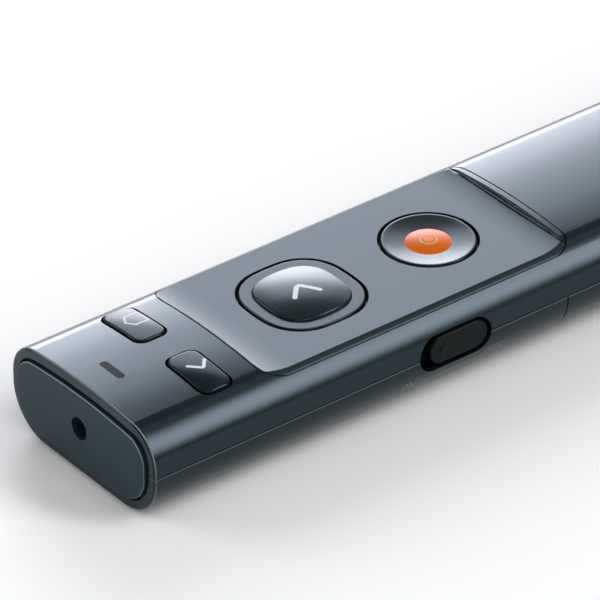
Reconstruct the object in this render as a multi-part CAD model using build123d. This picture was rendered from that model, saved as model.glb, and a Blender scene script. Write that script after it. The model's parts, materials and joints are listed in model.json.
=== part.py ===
from build123d import *
import math
import os

os.makedirs("parts", exist_ok=True)

# Wireless presentation clicker. Millimetres. +Z is up, +Y runs from the laser end to the tail,
# +X is the power switch's side. The origin is under the middle of the body, on its flat foot.
# Places along the body are stations: distances behind the front rim.

# ---------------------------------------------------------------- casing
WIDTH = 28.6
WALL = 1.25
CELL_DIAMETER = 10.5  # AAA cell, the largest that the standard allows
CELL_LENGTH = 44.5
CELL_CLEARANCE = 0.1
FOOT_RADIUS = 6.3
SHOULDER_RADIUS = 5.0
SHOULDER_DROP = 5.5  # from the crown's top to the shoulder arc's centre
RIM_RADIUS = 0.35
SEAM_EDGE_RADIUS = 0.12  # outer edges along the joint line
SEAM_DROP = 6.4  # from the crown's top to the joint line
SEAM_GAP = 0.12

# Lip of the lower shells, which hooks into a groove in the top cover
LIP_STEP = 0.25  # inside the wall
LIP_THICKNESS = 0.55
LIP_ROOT = 1.2
LIP_RISE = 1.9
LIP_HOOK = 0.35
LIP_HOOK_HEIGHT = 0.6
LIP_CLEARANCE = 0.1
LIP_START = 2.0  # behind the front cap

# End caps
CAP_PROUD = 0.5
CAP_GAP = 0.35  # round the cap, inside the wall
CAP_THICKNESS = 2.0
CAP_EDGE_RADIUS = 0.25
CAP_FLANGE = 0.8  # wider plate behind the front cap's face
CAP_FLANGE_GAP = 0.05
CAP_SEAT = 0.3  # depth of the laser barrel's seat
LASER_DROP = 1.85  # laser's axis below the board's upper face
APERTURE_RADIUS = 1.5

# ---------------------------------------------------------------- control panel and keys
PANEL_START = 18.6  # station of the front end of its recess
PANEL_LENGTH = 48.5
PANEL_SIDE = 2.0  # recess to the casing's side
PANEL_CORNER = 3.3
PANEL_DISH = 0.97  # flat below the crown's top
PANEL_THICKNESS = 1.1
PANEL_GAP = 0.12
FRONT_LAND = 0.4  # crown-high strip before the front ramp
REAR_LAND = 1.15
RAMP_LENGTH = 4.2
RAMP_SLOPE = 8.0  # degrees at the head of the ramp, where it meets the step up to the crown
STEP_RADIUS = 0.35  # at the foot of the step
FRONT_CREST_RADIUS = 0.1  # at the top of the front step, which ends in the panel's corners
REAR_CREST_RADIUS = 0.22
PANEL_EDGE_RADIUS = 0.15
DECK_THICKNESS = 0.9  # top cover's floor under the panel
DECK_BORDER = 1.2

NEXT_STATION = 33.4
NEXT_HALF = 7.2  # rounded square, centre to side
NEXT_BULGE = 0.9
NEXT_CORNER = 5.5
DOME_HALF = 5.5
DOME_BULGE = 0.6
DOME_CORNER = 3.5
DOME_HEIGHT = 0.95
DOME_SPHERE = 25.5
DOME_EDGE_RADIUS = 0.3
LASER_STATION = 53.4
LASER_KEY_RADIUS = 6.0
DISH_RIM = 0.35  # flat ring round the dish
DISH_SPHERE = 33.0
DOT_RADIUS = 2.95
DOT_HEIGHT = 0.4
DOT_SEAT = 0.4  # depth of its seat below the dish
SMALL_STATION = 12.67
SMALL_X = 6.43
SMALL_WIDTH = 8.05
SMALL_LENGTH = 4.43
SMALL_CORNER = 1.2
SMALL_RISE = 0.36  # middle of the key above the casing's surface
SMALL_PILLOW_X = 40.0  # radii of its pillowed top, across and along the body
SMALL_PILLOW_Y = 20.0
SMALL_EDGE_RADIUS = 0.25
SMALL_LAP = 0.35  # flange beyond the hole
SMALL_STEM = 0.2  # plunger to the flange

KEY_GAP = 0.4  # round the panel's keys
SMALL_GAP = 0.32
KEY_PROUD = 0.05
KEY_EDGE_RADIUS = 0.2
KEY_TRAVEL = 0.35
KEY_FLANGE = 0.85  # flange beyond the key's outline, under the panel
KEY_FLANGE_THICKNESS = 0.6
KEY_SEAT = 0.06  # flange below the face that holds it in
STEM_RADIUS = 1.6

# Status light window
WINDOW_STATION = 4.6
WINDOW_WIDTH = 4.2
WINDOW_LENGTH = 1.05
WINDOW_GAP = 0.04
GUIDE_SHIFT = 4.4  # x of the light under the guide's leg
GUIDE_LEG = 1.6
GUIDE_BARREL_GAP = 0.3  # guide's arm above the laser's barrel
GUIDE_LED_GAP = 0.1
LED_HEIGHT = 0.6

# ---------------------------------------------------------------- electronics
BOARD_DEPTH = 4.5  # crown's top to the board's upper face
BOARD_THICKNESS = 0.8
BOARD_START = 3.2
BOARD_END_GAP = 1.6  # board to the battery door's station
BOARD_SIDE = 3.7  # board to the casing's side
BOARD_CORNER = 2.0
NOTCH_HALF_WIDTH = 3.4
NOTCH_END = 14.2

TACT_SIDE = 4.0
TACT_HEIGHT = 0.8
TACT_CORNER = 0.4
TACT_WELL_GAP = 0.05  # under the plunger when the key is pressed
PLUNGER_RADIUS = 1.0
PLUNGER_RISE = 1.2  # plunger's top above the board
PLUNGER_LENGTH = 0.65
PLUNGER_CLEARANCE = 0.05

SCREW_INSET = 1.8  # from the board's long edge
SCREW_STATIONS = (20.5, 57.5)
SCREW_RADIUS = 0.8
SCREW_HEAD_RADIUS = 1.5
SCREW_HEAD_HEIGHT = 0.9
SCREW_HEAD_CHAMFER = 0.25
SCREW_LENGTH = 4.5
SCREW_TIP_GAP = 0.5  # hole deeper than the screw
DRIVE_LENGTH = 1.8  # cross in the screw's head
DRIVE_WIDTH = 0.4
DRIVE_DEPTH = 0.4
POST_RADIUS = 1.9

# x, station, width, length and height of what else stands on the board
COMPONENTS = {
    "indicator_led": (GUIDE_SHIFT, WINDOW_STATION, 1.6, 0.8, LED_HEIGHT),
    "controller_chip": (-5.0, 44.0, 5.0, 5.0, 0.85),
    "radio_crystal": (-7.6, 37.5, 2.5, 2.0, 0.6),
    "boost_inductor": (7.2, 43.4, 3.0, 3.0, 1.2),
}

LASER_BARREL_RADIUS = 3.0
LASER_BARREL_LENGTH = 10.5
LASER_BARREL_WALL = 0.6
LASER_BARREL_LIP = 0.8
LENS_THICKNESS = 1.5
LENS_BULGE = 0.4
DIODE_FLANGE = 1.2
DIODE_CAN_LENGTH = 2.8
DIODE_CAN_RADIUS = 1.6
SADDLE_WIDTH = 1.2
SADDLE_STATIONS = (3.5, 9.8)

# Power switch
SWITCH_STATION = 46.1  # middle of the slot in the side
SWITCH_DROP = 0.15  # slot's middle below the lever
SLOT_LENGTH = 11.3
SLOT_HEIGHT = 5.0
KNOB_LENGTH = 9.1
KNOB_HEIGHT = 3.9
KNOB_RECESS = 0.25  # face inside the casing's widest line
KNOB_EDGE_RADIUS = 0.25
KNOB_PIP_RADIUS = 0.55
KNOB_PIP_HEIGHT = 0.2
KNOB_END_GAP = 0.35
KNOB_FLANGE_THICKNESS = 0.8
KNOB_FLANGE_SET = 1.75  # flange's back inside the wall
KNOB_FLANGE_LAP = 0.25
KNOB_FLANGE_CORNER = 1.0
KNOB_ROOT = 0.2  # knob into its flange
SLIDER_LENGTH = 6.7
SLIDER_WIDTH = 2.7
SLIDER_HEIGHT = 1.4
LEVER_LENGTH = 1.3
LEVER_HEIGHT = 0.7
LEVER_CLEARANCE = 0.05
LEVER_DEPTH = 1.2  # of the lever's root inside the slide switch
LEVER_ROOT_GAP = 0.1
LEVER_WINDOW_SPARE = 0.3  # slide switch's window beyond the lever's travel
FORK_PRONG = 0.7
FORK_SPARE = 0.15  # prongs to the board, and above and below the lever

# ---------------------------------------------------------------- battery bay and receiver
DOOR_STATION = 64.1
DOOR_GAP = 0.2
CARRIER_GAP = 0.15  # carrier to the door's lip
CARRIER_END_GAP = 0.55
CONTACT_THICKNESS = 0.3
CELL_NUB_LENGTH = 0.9
CELL_NUB_RADIUS = 1.9
CELL_EDGE_CHAMFER = 0.4
SPRING_LENGTH = 4.3
SPRING_WIRE_RADIUS = 0.28
SPRING_TURNS = 3.5
SPRING_RADIUS = 3.2
CARRIER_RIB = 1.2
CARRIER_POCKETS = 5  # on each side of the cell
CELL_RIDGE = 3.5  # half-width of the gap in the carrier above the cell
CELL_DECK_GAP = 0.4  # cell's can to the deck
DOCK_WALL = 2.0  # between the cell's bay and the receiver's dock
STRIP_RISE = 0.7  # contacts' strips above the board
STRIP_CLEARANCE = 0.1
STRIP_X = 9.0  # far edge of the negative contact's strip
STRIP_WIDTH = 2.0
CONTACT_WIDTH = 6.8
ARM_HEIGHT = 0.6  # from the negative plate to its strip
TAB_WIDTH = 3.0
TAB_LAP = 1.5  # contacts' tabs over the board
GRIP_GROOVES = 5
GRIP_START = 5.0  # first groove behind the door's front edge
GRIP_PITCH = 1.6
GRIP_DEPTH = 0.3
GRIP_WIDTH = 10.0

PLUG_WIDTH = 12.0
PLUG_HEIGHT = 4.5
PLUG_LENGTH = 12.3
PLUG_SHEET = 0.3
PLUG_CORNER = 0.5
PLUG_CLEARANCE = 0.15
PLUG_TIP_GAP = 0.3
HEAD_WIDTH = 14.8
HEAD_HEIGHT = 6.8
HEAD_LENGTH = 6.0
HEAD_CORNER = 1.5
HEAD_CLEARANCE = 0.15
NAIL_NOTCH_WIDTH = 8.0
NAIL_NOTCH_DEPTH = 1.3
NAIL_NOTCH_HEIGHT = 1.0
HEAD_END_RADIUS = 0.4
PLUG_WINDOW_X = 3.1  # latch windows, from the middle
PLUG_WINDOW_WIDTH = 2.5
PLUG_WINDOW_LENGTH = 2.3
PLUG_WINDOW_START = 5.2  # behind the plug's tip
TONGUE_THICKNESS = 1.9
TONGUE_SETBACK = 0.4
CONTACT_XS = (-3.5, -1.0, 1.0, 3.5)
CONTACT_GROOVE = 0.15  # depth of each contact's groove in the tongue
CONTACT_GROOVE_WIDTH = 1.0
CONTACT_GROOVE_START = 0.6
CONTACT_GROOVE_END = 8.0

# ---------------------------------------------------------------- derived places
HALF_WIDTH = WIDTH / 2
HEIGHT = CELL_DIAMETER + 2 * (CELL_CLEARANCE + WALL)
PANEL_MIDDLE = PANEL_START + PANEL_LENGTH / 2
PANEL_END = PANEL_START + PANEL_LENGTH
CELL_CAN_START = PANEL_END + DECK_BORDER + CELL_DECK_GAP
CELL_START = CELL_CAN_START - CELL_NUB_LENGTH
CELL_END = CELL_START + CELL_LENGTH
BAY_START = CELL_START - CONTACT_THICKNESS
BAY_END = CELL_END + SPRING_LENGTH + CONTACT_THICKNESS
PLUG_START = BAY_END + DOCK_WALL + PLUG_TIP_GAP
HEAD_START = PLUG_START + PLUG_LENGTH
RECEIVER_END = HEAD_START + HEAD_LENGTH
LENGTH = RECEIVER_END + CAP_PROUD  # front cap's face to tail cap's face
SHELL_LENGTH = LENGTH - 2 * CAP_PROUD
RIM_Y = CAP_PROUD - LENGTH / 2
FOOT_X = HALF_WIDTH - FOOT_RADIUS
SHOULDER_X = HALF_WIDTH - SHOULDER_RADIUS
SHOULDER_Z = HEIGHT - SHOULDER_DROP
CROWN_RADIUS = (SHOULDER_X**2 + SHOULDER_DROP**2 - SHOULDER_RADIUS**2) / (
    2 * (SHOULDER_DROP - SHOULDER_RADIUS)
)
CROWN_Z = HEIGHT - CROWN_RADIUS
SEAM_Z = HEIGHT - SEAM_DROP
LIP_INSET = WALL + LIP_STEP
CAP_INSET = WALL + CAP_GAP
PANEL_HALF_WIDTH = HALF_WIDTH - PANEL_SIDE
PANEL_Z = HEIGHT - PANEL_DISH
DECK_TOP = PANEL_Z - PANEL_THICKNESS
DECK_BOTTOM = DECK_TOP - DECK_THICKNESS
BOARD_TOP = HEIGHT - BOARD_DEPTH
BOARD_BOTTOM = BOARD_TOP - BOARD_THICKNESS
BOARD_HALF_WIDTH = HALF_WIDTH - BOARD_SIDE
BOARD_END = DOOR_STATION - BOARD_END_GAP
PLUNGER_TOP = BOARD_TOP + PLUNGER_RISE
TACT_TOP = BOARD_TOP + TACT_HEIGHT
SCREW_X = BOARD_HALF_WIDTH - SCREW_INSET
STRIP_Z = BOARD_TOP + STRIP_RISE
LEVER_Z = BOARD_BOTTOM - SLIDER_HEIGHT / 2
SWITCH_Z = LEVER_Z - SWITCH_DROP
KNOB_FACE_X = HALF_WIDTH - KNOB_RECESS
KNOB_FLANGE_BACK = HALF_WIDTH - WALL - KNOB_FLANGE_SET
KNOB_STATION = SWITCH_STATION + (SLOT_LENGTH - KNOB_LENGTH) / 2 - KNOB_END_GAP
SWITCH_TRAVEL = SLOT_LENGTH - KNOB_LENGTH - 2 * KNOB_END_GAP
LASER_Z = BOARD_TOP - LASER_DROP
LASER_BARREL_START = CAP_THICKNESS - CAP_PROUD - CAP_SEAT
LASER_BARREL_END = LASER_BARREL_START + LASER_BARREL_LENGTH
GUIDE_FOOT = LASER_Z + LASER_BARREL_RADIUS + GUIDE_BARREL_GAP
CELL_Z = WALL + CELL_CLEARANCE + CELL_DIAMETER / 2
CARRIER_START = DOOR_STATION + CARRIER_END_GAP
CARRIER_END = RECEIVER_END - CAP_THICKNESS
FAR = 40.0 + WIDTH + LENGTH  # beyond the body, for cutting tools
NEAR = 0.01  # how far from a plane an edge that lies in it may be found


def station(distance):
    """Y of a place this far behind the front rim."""
    return RIM_Y + distance


def lengthwise(face, start, end):
    """Extrude a face drawn in X and Z along the body, between two stations."""
    return extrude(Plane.XZ.offset(-station(end)) * face, amount=end - start)


def upright(face, bottom, top, x=0.0, at=0.0):
    """Extrude a plan face upward between two heights, centred at x and a station."""
    return Pos(x, station(at), bottom) * extrude(face, amount=top - bottom)


def sideways(face, inner, outer, at=0.0, height=0.0):
    """Extrude a face drawn in Y and Z outward along X, centred at a station and a height."""
    return Pos(inner, station(at), height) * extrude(Plane.YZ * face, amount=outer - inner)


def edges_at(solid, axis, value):
    """Edges in the plane square to an axis at this value."""
    return solid.edges().filter_by_position(axis, value - NEAR, value + NEAR)


def block(x0, x1, s0, s1, z0, z1):
    """A box between two x values, two stations and two heights."""
    middle = Pos((x0 + x1) / 2, station((s0 + s1) / 2), (z0 + z1) / 2)
    return middle * Box(x1 - x0, s1 - s0, z1 - z0)


def rod(radius, start, end, height, x=0.0):
    """A round bar along the body."""
    return lengthwise(Pos(x, height) * Circle(radius), start, end)


def around(centre, radius, degrees):
    """A point on a circle."""
    angle = math.radians(degrees)
    return (centre[0] + radius * math.cos(angle), centre[1] + radius * math.sin(angle))


def mirror_x(point):
    return (-point[0], point[1])


def body_face(inset=0.0):
    """Cross-section: flat foot, round lower corners, upright sides, round shoulders, crown."""
    foot = (FOOT_X, FOOT_RADIUS)
    shoulder = (SHOULDER_X, SHOULDER_Z)
    crown = (0.0, CROWN_Z)
    turn = math.degrees(math.atan2(SHOULDER_Z - CROWN_Z, SHOULDER_X))
    foot_arc = [around(foot, FOOT_RADIUS - inset, angle) for angle in (-90, -45, 0)]
    shoulder_arc = [around(shoulder, SHOULDER_RADIUS - inset, angle) for angle in (0, turn / 2, turn)]
    crown_top = around(crown, CROWN_RADIUS - inset, 90)
    left_foot = [mirror_x(point) for point in foot_arc]
    left_shoulder = [mirror_x(point) for point in shoulder_arc]
    outline = Curve() + [
        Line(left_foot[0], foot_arc[0]),
        ThreePointArc(*foot_arc),
        Line(foot_arc[2], shoulder_arc[0]),
        ThreePointArc(*shoulder_arc),
        ThreePointArc(shoulder_arc[2], crown_top, left_shoulder[2]),
        ThreePointArc(*left_shoulder),
        Line(left_shoulder[0], left_foot[2]),
        ThreePointArc(*left_foot),
    ]
    return make_face(outline)


def rounded_square(half, bulge, corner):
    """Square with bowed sides and large round corners, half wide at the middle of a side."""
    reach = half - bulge
    corners = [(reach, -reach), (reach, reach), (-reach, reach), (-reach, -reach)]
    middles = [(half, 0), (0, half), (-half, 0), (0, -half)]
    sides = [ThreePointArc(corners[i], middles[i], corners[(i + 1) % 4]) for i in range(4)]
    face = make_face(Curve() + sides)
    return fillet(face.vertices(), corner)


def grown_square(growth):
    """The next key's outline, grown all round."""
    return rounded_square(NEXT_HALF + growth, NEXT_BULGE, NEXT_CORNER + growth)


def small_outline(growth=0.0):
    """A small key's outline, grown all round."""
    return RectangleRounded(SMALL_WIDTH + 2 * growth, SMALL_LENGTH + 2 * growth, SMALL_CORNER + growth)


def panel_outline(growth=0.0):
    """The panel recess's outline, grown all round."""
    return RectangleRounded(
        2 * (PANEL_HALF_WIDTH + growth), PANEL_LENGTH + 2 * growth, PANEL_CORNER + growth
    )


def inner_space():
    return lengthwise(body_face(WALL), -FAR, SHELL_LENGTH + FAR)


def window_shape(growth=0.0):
    return SlotOverall(WINDOW_WIDTH + 2 * growth, WINDOW_LENGTH + 2 * growth)


def ball_drop(radius, reach):
    """How far a sphere falls away from its top at this distance from its axis."""
    return radius - math.sqrt(radius**2 - reach**2)


def top_rim(solid, above):
    """Edges where upright walls meet the top, higher than a given height."""
    walls = solid.faces().filter_by(lambda face: abs(face.normal_at().Z) < NEAR)
    edges = ShapeList([edge for wall in walls for edge in wall.edges()])
    return edges.filter_by(lambda edge: edge.bounding_box().min.Z > above and abs((edge % 0.5).Z) < 0.7)


def shell_tube():
    """The casing before it is parted: a tube of the cross-section with softened rims."""
    outer = lengthwise(body_face(), 0, SHELL_LENGTH)
    rims = edges_at(outer, Axis.Y, station(0)) + edges_at(outer, Axis.Y, station(SHELL_LENGTH))
    return fillet(rims, RIM_RADIUS) - inner_space()


def lip_profile(side, clearance=0.0):
    """Hooked lip seen from the front; with a clearance it is the groove that takes it."""
    inner = HALF_WIDTH - LIP_INSET - (WALL if clearance else 0)
    outer = HALF_WIDTH - LIP_INSET + LIP_THICKNESS + clearance
    top = SEAM_Z + LIP_RISE + clearance
    hook_foot = SEAM_Z + LIP_RISE - LIP_HOOK_HEIGHT - clearance
    root = SEAM_Z - LIP_ROOT
    hook = outer + LIP_HOOK
    points = [
        (inner, root),
        (outer, root),
        (outer, hook_foot),
        (hook, hook_foot + LIP_HOOK / 2),
        (hook, top - LIP_HOOK / 2),
        (outer + LIP_HOOK / 2, top),
        (inner, top),
    ]
    return make_face(Polyline([(side * x, z) for x, z in points], close=True))


def switch_slot():
    """Opening in the side for the power switch."""
    reach = KNOB_FLANGE_BACK + KNOB_FLANGE_THICKNESS
    return sideways(SlotOverall(SLOT_LENGTH, SLOT_HEIGHT), reach, FAR, SWITCH_STATION, SWITCH_Z)


def seam_softened(shell, height):
    """Rounds a shell's outer edges along the joint line."""
    edges = edges_at(shell, Axis.Z, height)
    outer = edges.filter_by(lambda edge: abs(edge.center().X) > HALF_WIDTH - NEAR)
    return fillet(outer, SEAM_EDGE_RADIUS)


def lower_shell(tube, start, end):
    """Part of the casing below the joint line, with its hooked lips."""
    top = SEAM_Z - SEAM_GAP / 2
    shell = seam_softened(tube & block(-FAR, FAR, start, end, -FAR, top), top)
    for side in (-1, 1):
        shell += lengthwise(lip_profile(side), max(start, LIP_START), end)
    return shell


# ---------------------------------------------------------------- casing pieces


def make_top_cover(tube):
    foot = SEAM_Z + SEAM_GAP / 2
    cover = seam_softened(tube & block(-FAR, FAR, -FAR, SHELL_LENGTH + FAR, foot, FAR), foot)
    deck = upright(panel_outline(DECK_BORDER), DECK_BOTTOM, HEIGHT, at=PANEL_MIDDLE)
    cover += deck & lengthwise(body_face(WALL / 2), 0, SHELL_LENGTH)
    cover -= upright(panel_outline(), DECK_TOP, FAR, at=PANEL_MIDDLE)
    for side in (-1, 1):
        groove = lip_profile(side, LIP_CLEARANCE)
        cover -= lengthwise(groove, LIP_START - LIP_CLEARANCE, SHELL_LENGTH + FAR)
        cover -= upright(small_outline(SMALL_GAP), BOARD_TOP, FAR, side * SMALL_X, SMALL_STATION)
    cover -= upright(grown_square(KEY_GAP + KEY_FLANGE), BOARD_TOP, FAR, at=NEXT_STATION)
    laser_hole = Circle(LASER_KEY_RADIUS + KEY_GAP + KEY_FLANGE)
    cover -= upright(laser_hole, BOARD_TOP, FAR, at=LASER_STATION)
    cover -= upright(window_shape(WINDOW_GAP), BOARD_TOP, FAR, at=WINDOW_STATION)
    return cover - switch_slot()


def make_bottom_cover(tube):
    """Front lower shell with the board's posts and the laser's saddles."""
    cover = lower_shell(tube, 0, DOOR_STATION - DOOR_GAP / 2) - switch_slot()
    for at in SCREW_STATIONS:
        for side in (-1, 1):
            post = upright(Circle(POST_RADIUS), WALL / 2, BOARD_BOTTOM, side * SCREW_X, at)
            cover += post & lengthwise(body_face(WALL / 2), 0, SHELL_LENGTH)
            cover -= upright(Circle(SCREW_RADIUS), BOARD_BOTTOM - SCREW_LENGTH, FAR, side * SCREW_X, at)
    half = LASER_BARREL_RADIUS + SADDLE_WIDTH
    for start in SADDLE_STATIONS:
        saddle = block(-half, half, start, start + SADDLE_WIDTH, WALL / 2, LASER_Z)
        cover += saddle - rod(LASER_BARREL_RADIUS, 0, NOTCH_END, LASER_Z)
    return cover


def make_battery_door(tube):
    """Rear lower shell, which slides off rearward; grooves under it give the thumb a grip."""
    door = lower_shell(tube, DOOR_STATION + DOOR_GAP / 2, SHELL_LENGTH)
    for index in range(GRIP_GROOVES):
        at = DOOR_STATION + GRIP_START + index * GRIP_PITCH
        groove = SlotOverall(GRIP_WIDTH, GRIP_PITCH / 2)
        door -= upright(groove, -FAR, GRIP_DEPTH, at=at)
    return door


def cap_plate(start, end, soft_end):
    """Plate of the cross-section's shape, set in from the rim, with one softened face."""
    plate = lengthwise(body_face(CAP_INSET), start, end)
    return fillet(edges_at(plate, Axis.Y, station(soft_end)), CAP_EDGE_RADIUS)


def make_front_cap():
    """Plate with a flange that fills the casing's mouth, the laser's aperture and its seat."""
    back = CAP_THICKNESS - CAP_PROUD
    cap = cap_plate(-CAP_PROUD, back, -CAP_PROUD)
    cap += lengthwise(body_face(WALL + CAP_FLANGE_GAP), back - CAP_FLANGE, back)
    cap -= rod(APERTURE_RADIUS, -FAR, FAR, LASER_Z)
    return cap - rod(LASER_BARREL_RADIUS, LASER_BARREL_START, FAR, LASER_Z)


def make_tail_cap():
    """Rear plate with the receiver's opening and a notch for a fingernail above it."""
    cap = cap_plate(CARRIER_END, RECEIVER_END, RECEIVER_END)
    cap -= lengthwise(
        dock_shape(HEAD_WIDTH, HEAD_HEIGHT, HEAD_CORNER, HEAD_CLEARANCE), CARRIER_END, RECEIVER_END
    )
    notch = scale(Sphere(1), (NAIL_NOTCH_WIDTH / 2, NAIL_NOTCH_DEPTH, NAIL_NOTCH_HEIGHT))
    return cap - Pos(0, station(RECEIVER_END), CELL_Z + HEAD_HEIGHT / 2) * notch


# ---------------------------------------------------------------- panel and keys


def ramp(start, direction, land):
    """The step's top and foot, and the shallow slope from there down to the panel's flat."""
    step = station(start + direction * land)
    radius = RAMP_LENGTH / math.sin(math.radians(RAMP_SLOPE))
    foot = step + direction * RAMP_LENGTH
    half = step + direction * RAMP_LENGTH / 2
    head_rise, half_rise = ball_drop(radius, RAMP_LENGTH), ball_drop(radius, RAMP_LENGTH / 2)
    slope = [(step, PANEL_Z + head_rise), (half, PANEL_Z + half_rise), (foot, PANEL_Z)]
    return (step, HEIGHT + 1), slope


def dish_cutter():
    """Everything above the panel's dished top, between its two lands."""
    front_top, front = ramp(PANEL_START, 1, FRONT_LAND)
    rear_top, rear = ramp(PANEL_END, -1, REAR_LAND)
    outline = Curve() + [
        Line(front_top, front[0]),
        ThreePointArc(*front),
        Line(front[2], rear[2]),
        ThreePointArc(*reversed(rear)),
        Line(rear[0], rear_top),
        Line(rear_top, front_top),
    ]
    face = make_face(outline)
    heads = face.vertices().filter_by(lambda vertex: PANEL_Z + NEAR < vertex.Y < HEIGHT)
    return Pos(-FAR, 0, 0) * extrude(Plane.YZ * fillet(heads, STEP_RADIUS), amount=2 * FAR)


def crest_cutter(start, direction, land, radius):
    """Ring about the crown's axis that rounds the upper edge of a step."""
    step = station(start + direction * land)
    crown_end = step - direction * radius
    foot_end = step + direction * STEP_RADIUS
    middle = (crown_end + foot_end) / 2
    corner = Pos(middle, CROWN_RADIUS) * Rectangle(abs(foot_end - crown_end), 2 * radius)
    corner -= Pos(crown_end, CROWN_RADIUS - radius) * Circle(radius)
    reach = math.degrees(math.asin(HALF_WIDTH / CROWN_RADIUS))
    ring = revolve(Plane.YZ * corner, Axis.Y, 2 * reach)
    return Pos(0, 0, CROWN_Z) * Rot(0, -reach, 0) * ring


def make_control_panel():
    plate = upright(panel_outline(-PANEL_GAP), DECK_TOP, FAR, at=PANEL_MIDDLE)
    plate &= lengthwise(body_face(), 0, SHELL_LENGTH)
    plate = fillet(top_rim(plate, DECK_TOP + NEAR), PANEL_EDGE_RADIUS)
    plate -= dish_cutter()
    plate -= crest_cutter(PANEL_START, 1, FRONT_LAND, FRONT_CREST_RADIUS)
    plate -= crest_cutter(PANEL_END, -1, REAR_LAND, REAR_CREST_RADIUS)
    plate -= upright(grown_square(KEY_GAP), 0, FAR, at=NEXT_STATION)
    return plate - upright(Circle(LASER_KEY_RADIUS + KEY_GAP), 0, FAR, at=LASER_STATION)


def key_stem(bottom_of_key, x, at):
    """Post that meets the switch's plunger."""
    return upright(Circle(STEM_RADIUS), PLUNGER_TOP, bottom_of_key, x, at)


def make_next_button():
    """Rounded-square key: flat rim, pillowed middle, flange under the panel."""
    top = PANEL_Z + KEY_PROUD
    flange_top = DECK_TOP - KEY_SEAT
    flange_bottom = flange_top - KEY_FLANGE_THICKNESS
    key = upright(grown_square(0), flange_bottom, top, at=NEXT_STATION)
    key = fillet(edges_at(key, Axis.Z, top), KEY_EDGE_RADIUS)
    key += upright(grown_square(KEY_FLANGE), flange_bottom, flange_top, at=NEXT_STATION)
    outline = rounded_square(DOME_HALF, DOME_BULGE, DOME_CORNER)
    dome = upright(outline, flange_top, FAR, at=NEXT_STATION)
    dome &= Pos(0, station(NEXT_STATION), top + DOME_HEIGHT - DOME_SPHERE) * Sphere(DOME_SPHERE)
    dome = fillet(top_rim(dome, top), DOME_EDGE_RADIUS)
    return key + dome + key_stem(flange_bottom, 0, NEXT_STATION)


def dish_floor():
    """Height of the dish where it meets the coloured centre."""
    rim = LASER_KEY_RADIUS - DISH_RIM
    return PANEL_Z + KEY_PROUD - ball_drop(DISH_SPHERE, rim) + ball_drop(DISH_SPHERE, DOT_RADIUS)


def make_laser_button():
    """Round dished key with a seat for the coloured centre."""
    top = PANEL_Z + KEY_PROUD
    flange_top = DECK_TOP - KEY_SEAT
    flange_bottom = flange_top - KEY_FLANGE_THICKNESS
    rim = LASER_KEY_RADIUS - DISH_RIM
    bowl = top - ball_drop(DISH_SPHERE, rim)
    slope = (DOT_RADIUS + rim) / 2
    edge_centre = (LASER_KEY_RADIUS - KEY_EDGE_RADIUS, top - KEY_EDGE_RADIUS)
    edge = [around(edge_centre, KEY_EDGE_RADIUS, angle) for angle in (0, 45, 90)]
    floor = dish_floor()
    seat = floor - DOT_SEAT
    profile = Curve() + [
        Line((0, PLUNGER_TOP), (STEM_RADIUS, PLUNGER_TOP)),
        Line((STEM_RADIUS, PLUNGER_TOP), (STEM_RADIUS, flange_bottom)),
        Line((STEM_RADIUS, flange_bottom), (LASER_KEY_RADIUS + KEY_FLANGE, flange_bottom)),
        Line((LASER_KEY_RADIUS + KEY_FLANGE, flange_bottom), (LASER_KEY_RADIUS + KEY_FLANGE, flange_top)),
        Line((LASER_KEY_RADIUS + KEY_FLANGE, flange_top), (LASER_KEY_RADIUS, flange_top)),
        Line((LASER_KEY_RADIUS, flange_top), edge[0]),
        ThreePointArc(*edge),
        Line(edge[2], (rim, top)),
        ThreePointArc((rim, top), (slope, bowl + ball_drop(DISH_SPHERE, slope)), (DOT_RADIUS, floor)),
        Line((DOT_RADIUS, floor), (DOT_RADIUS, seat)),
        Line((DOT_RADIUS, seat), (0, seat)),
        Line((0, seat), (0, PLUNGER_TOP)),
    ]
    turned = revolve(Plane.XZ * make_face(profile), Axis.Z)
    return Pos(0, station(LASER_STATION), 0) * turned


def make_laser_button_dot():
    """Domed centre of the laser key, standing on the seat in the dish."""
    floor = dish_floor()
    seat = floor - DOT_SEAT
    crest = floor + DOT_HEIGHT
    chord = DOT_RADIUS / 2
    radius = (DOT_RADIUS**2 + DOT_HEIGHT**2) / (2 * DOT_HEIGHT)
    middle = crest - radius + math.sqrt(radius**2 - chord**2)
    profile = Curve() + [
        Line((0, seat), (DOT_RADIUS, seat)),
        Line((DOT_RADIUS, seat), (DOT_RADIUS, floor)),
        ThreePointArc((DOT_RADIUS, floor), (chord, middle), (0, crest)),
        Line((0, crest), (0, seat)),
    ]
    return Pos(0, station(LASER_STATION), 0) * revolve(Plane.XZ * make_face(profile), Axis.Z)


def make_small_button(side):
    """Key with a pillowed top that follows the crown, and a flange inside the cover."""
    flange_bottom = PLUNGER_TOP + SMALL_STEM
    flange_top = flange_bottom + KEY_FLANGE_THICKNESS
    key = upright(small_outline(), flange_bottom, FAR, side * SMALL_X, SMALL_STATION)
    pillow = scale(Sphere(SMALL_PILLOW_Y), (math.sqrt(SMALL_PILLOW_X / SMALL_PILLOW_Y), 1, 1))
    tilt = math.degrees(math.asin(SMALL_X / CROWN_RADIUS))
    turned = Pos(0, station(SMALL_STATION), CROWN_Z) * Rot(0, side * tilt, 0)
    key &= turned * Pos(0, 0, CROWN_RADIUS + SMALL_RISE - SMALL_PILLOW_Y) * pillow
    key = fillet(top_rim(key, flange_top), SMALL_EDGE_RADIUS)
    flange_outline = small_outline(SMALL_GAP + SMALL_LAP)
    flange = upright(flange_outline, flange_bottom, flange_top, side * SMALL_X, SMALL_STATION)
    key += flange & lengthwise(body_face(WALL + SMALL_GAP / 2), 0, SHELL_LENGTH)
    return key + key_stem(flange_bottom, side * SMALL_X, SMALL_STATION)


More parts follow.
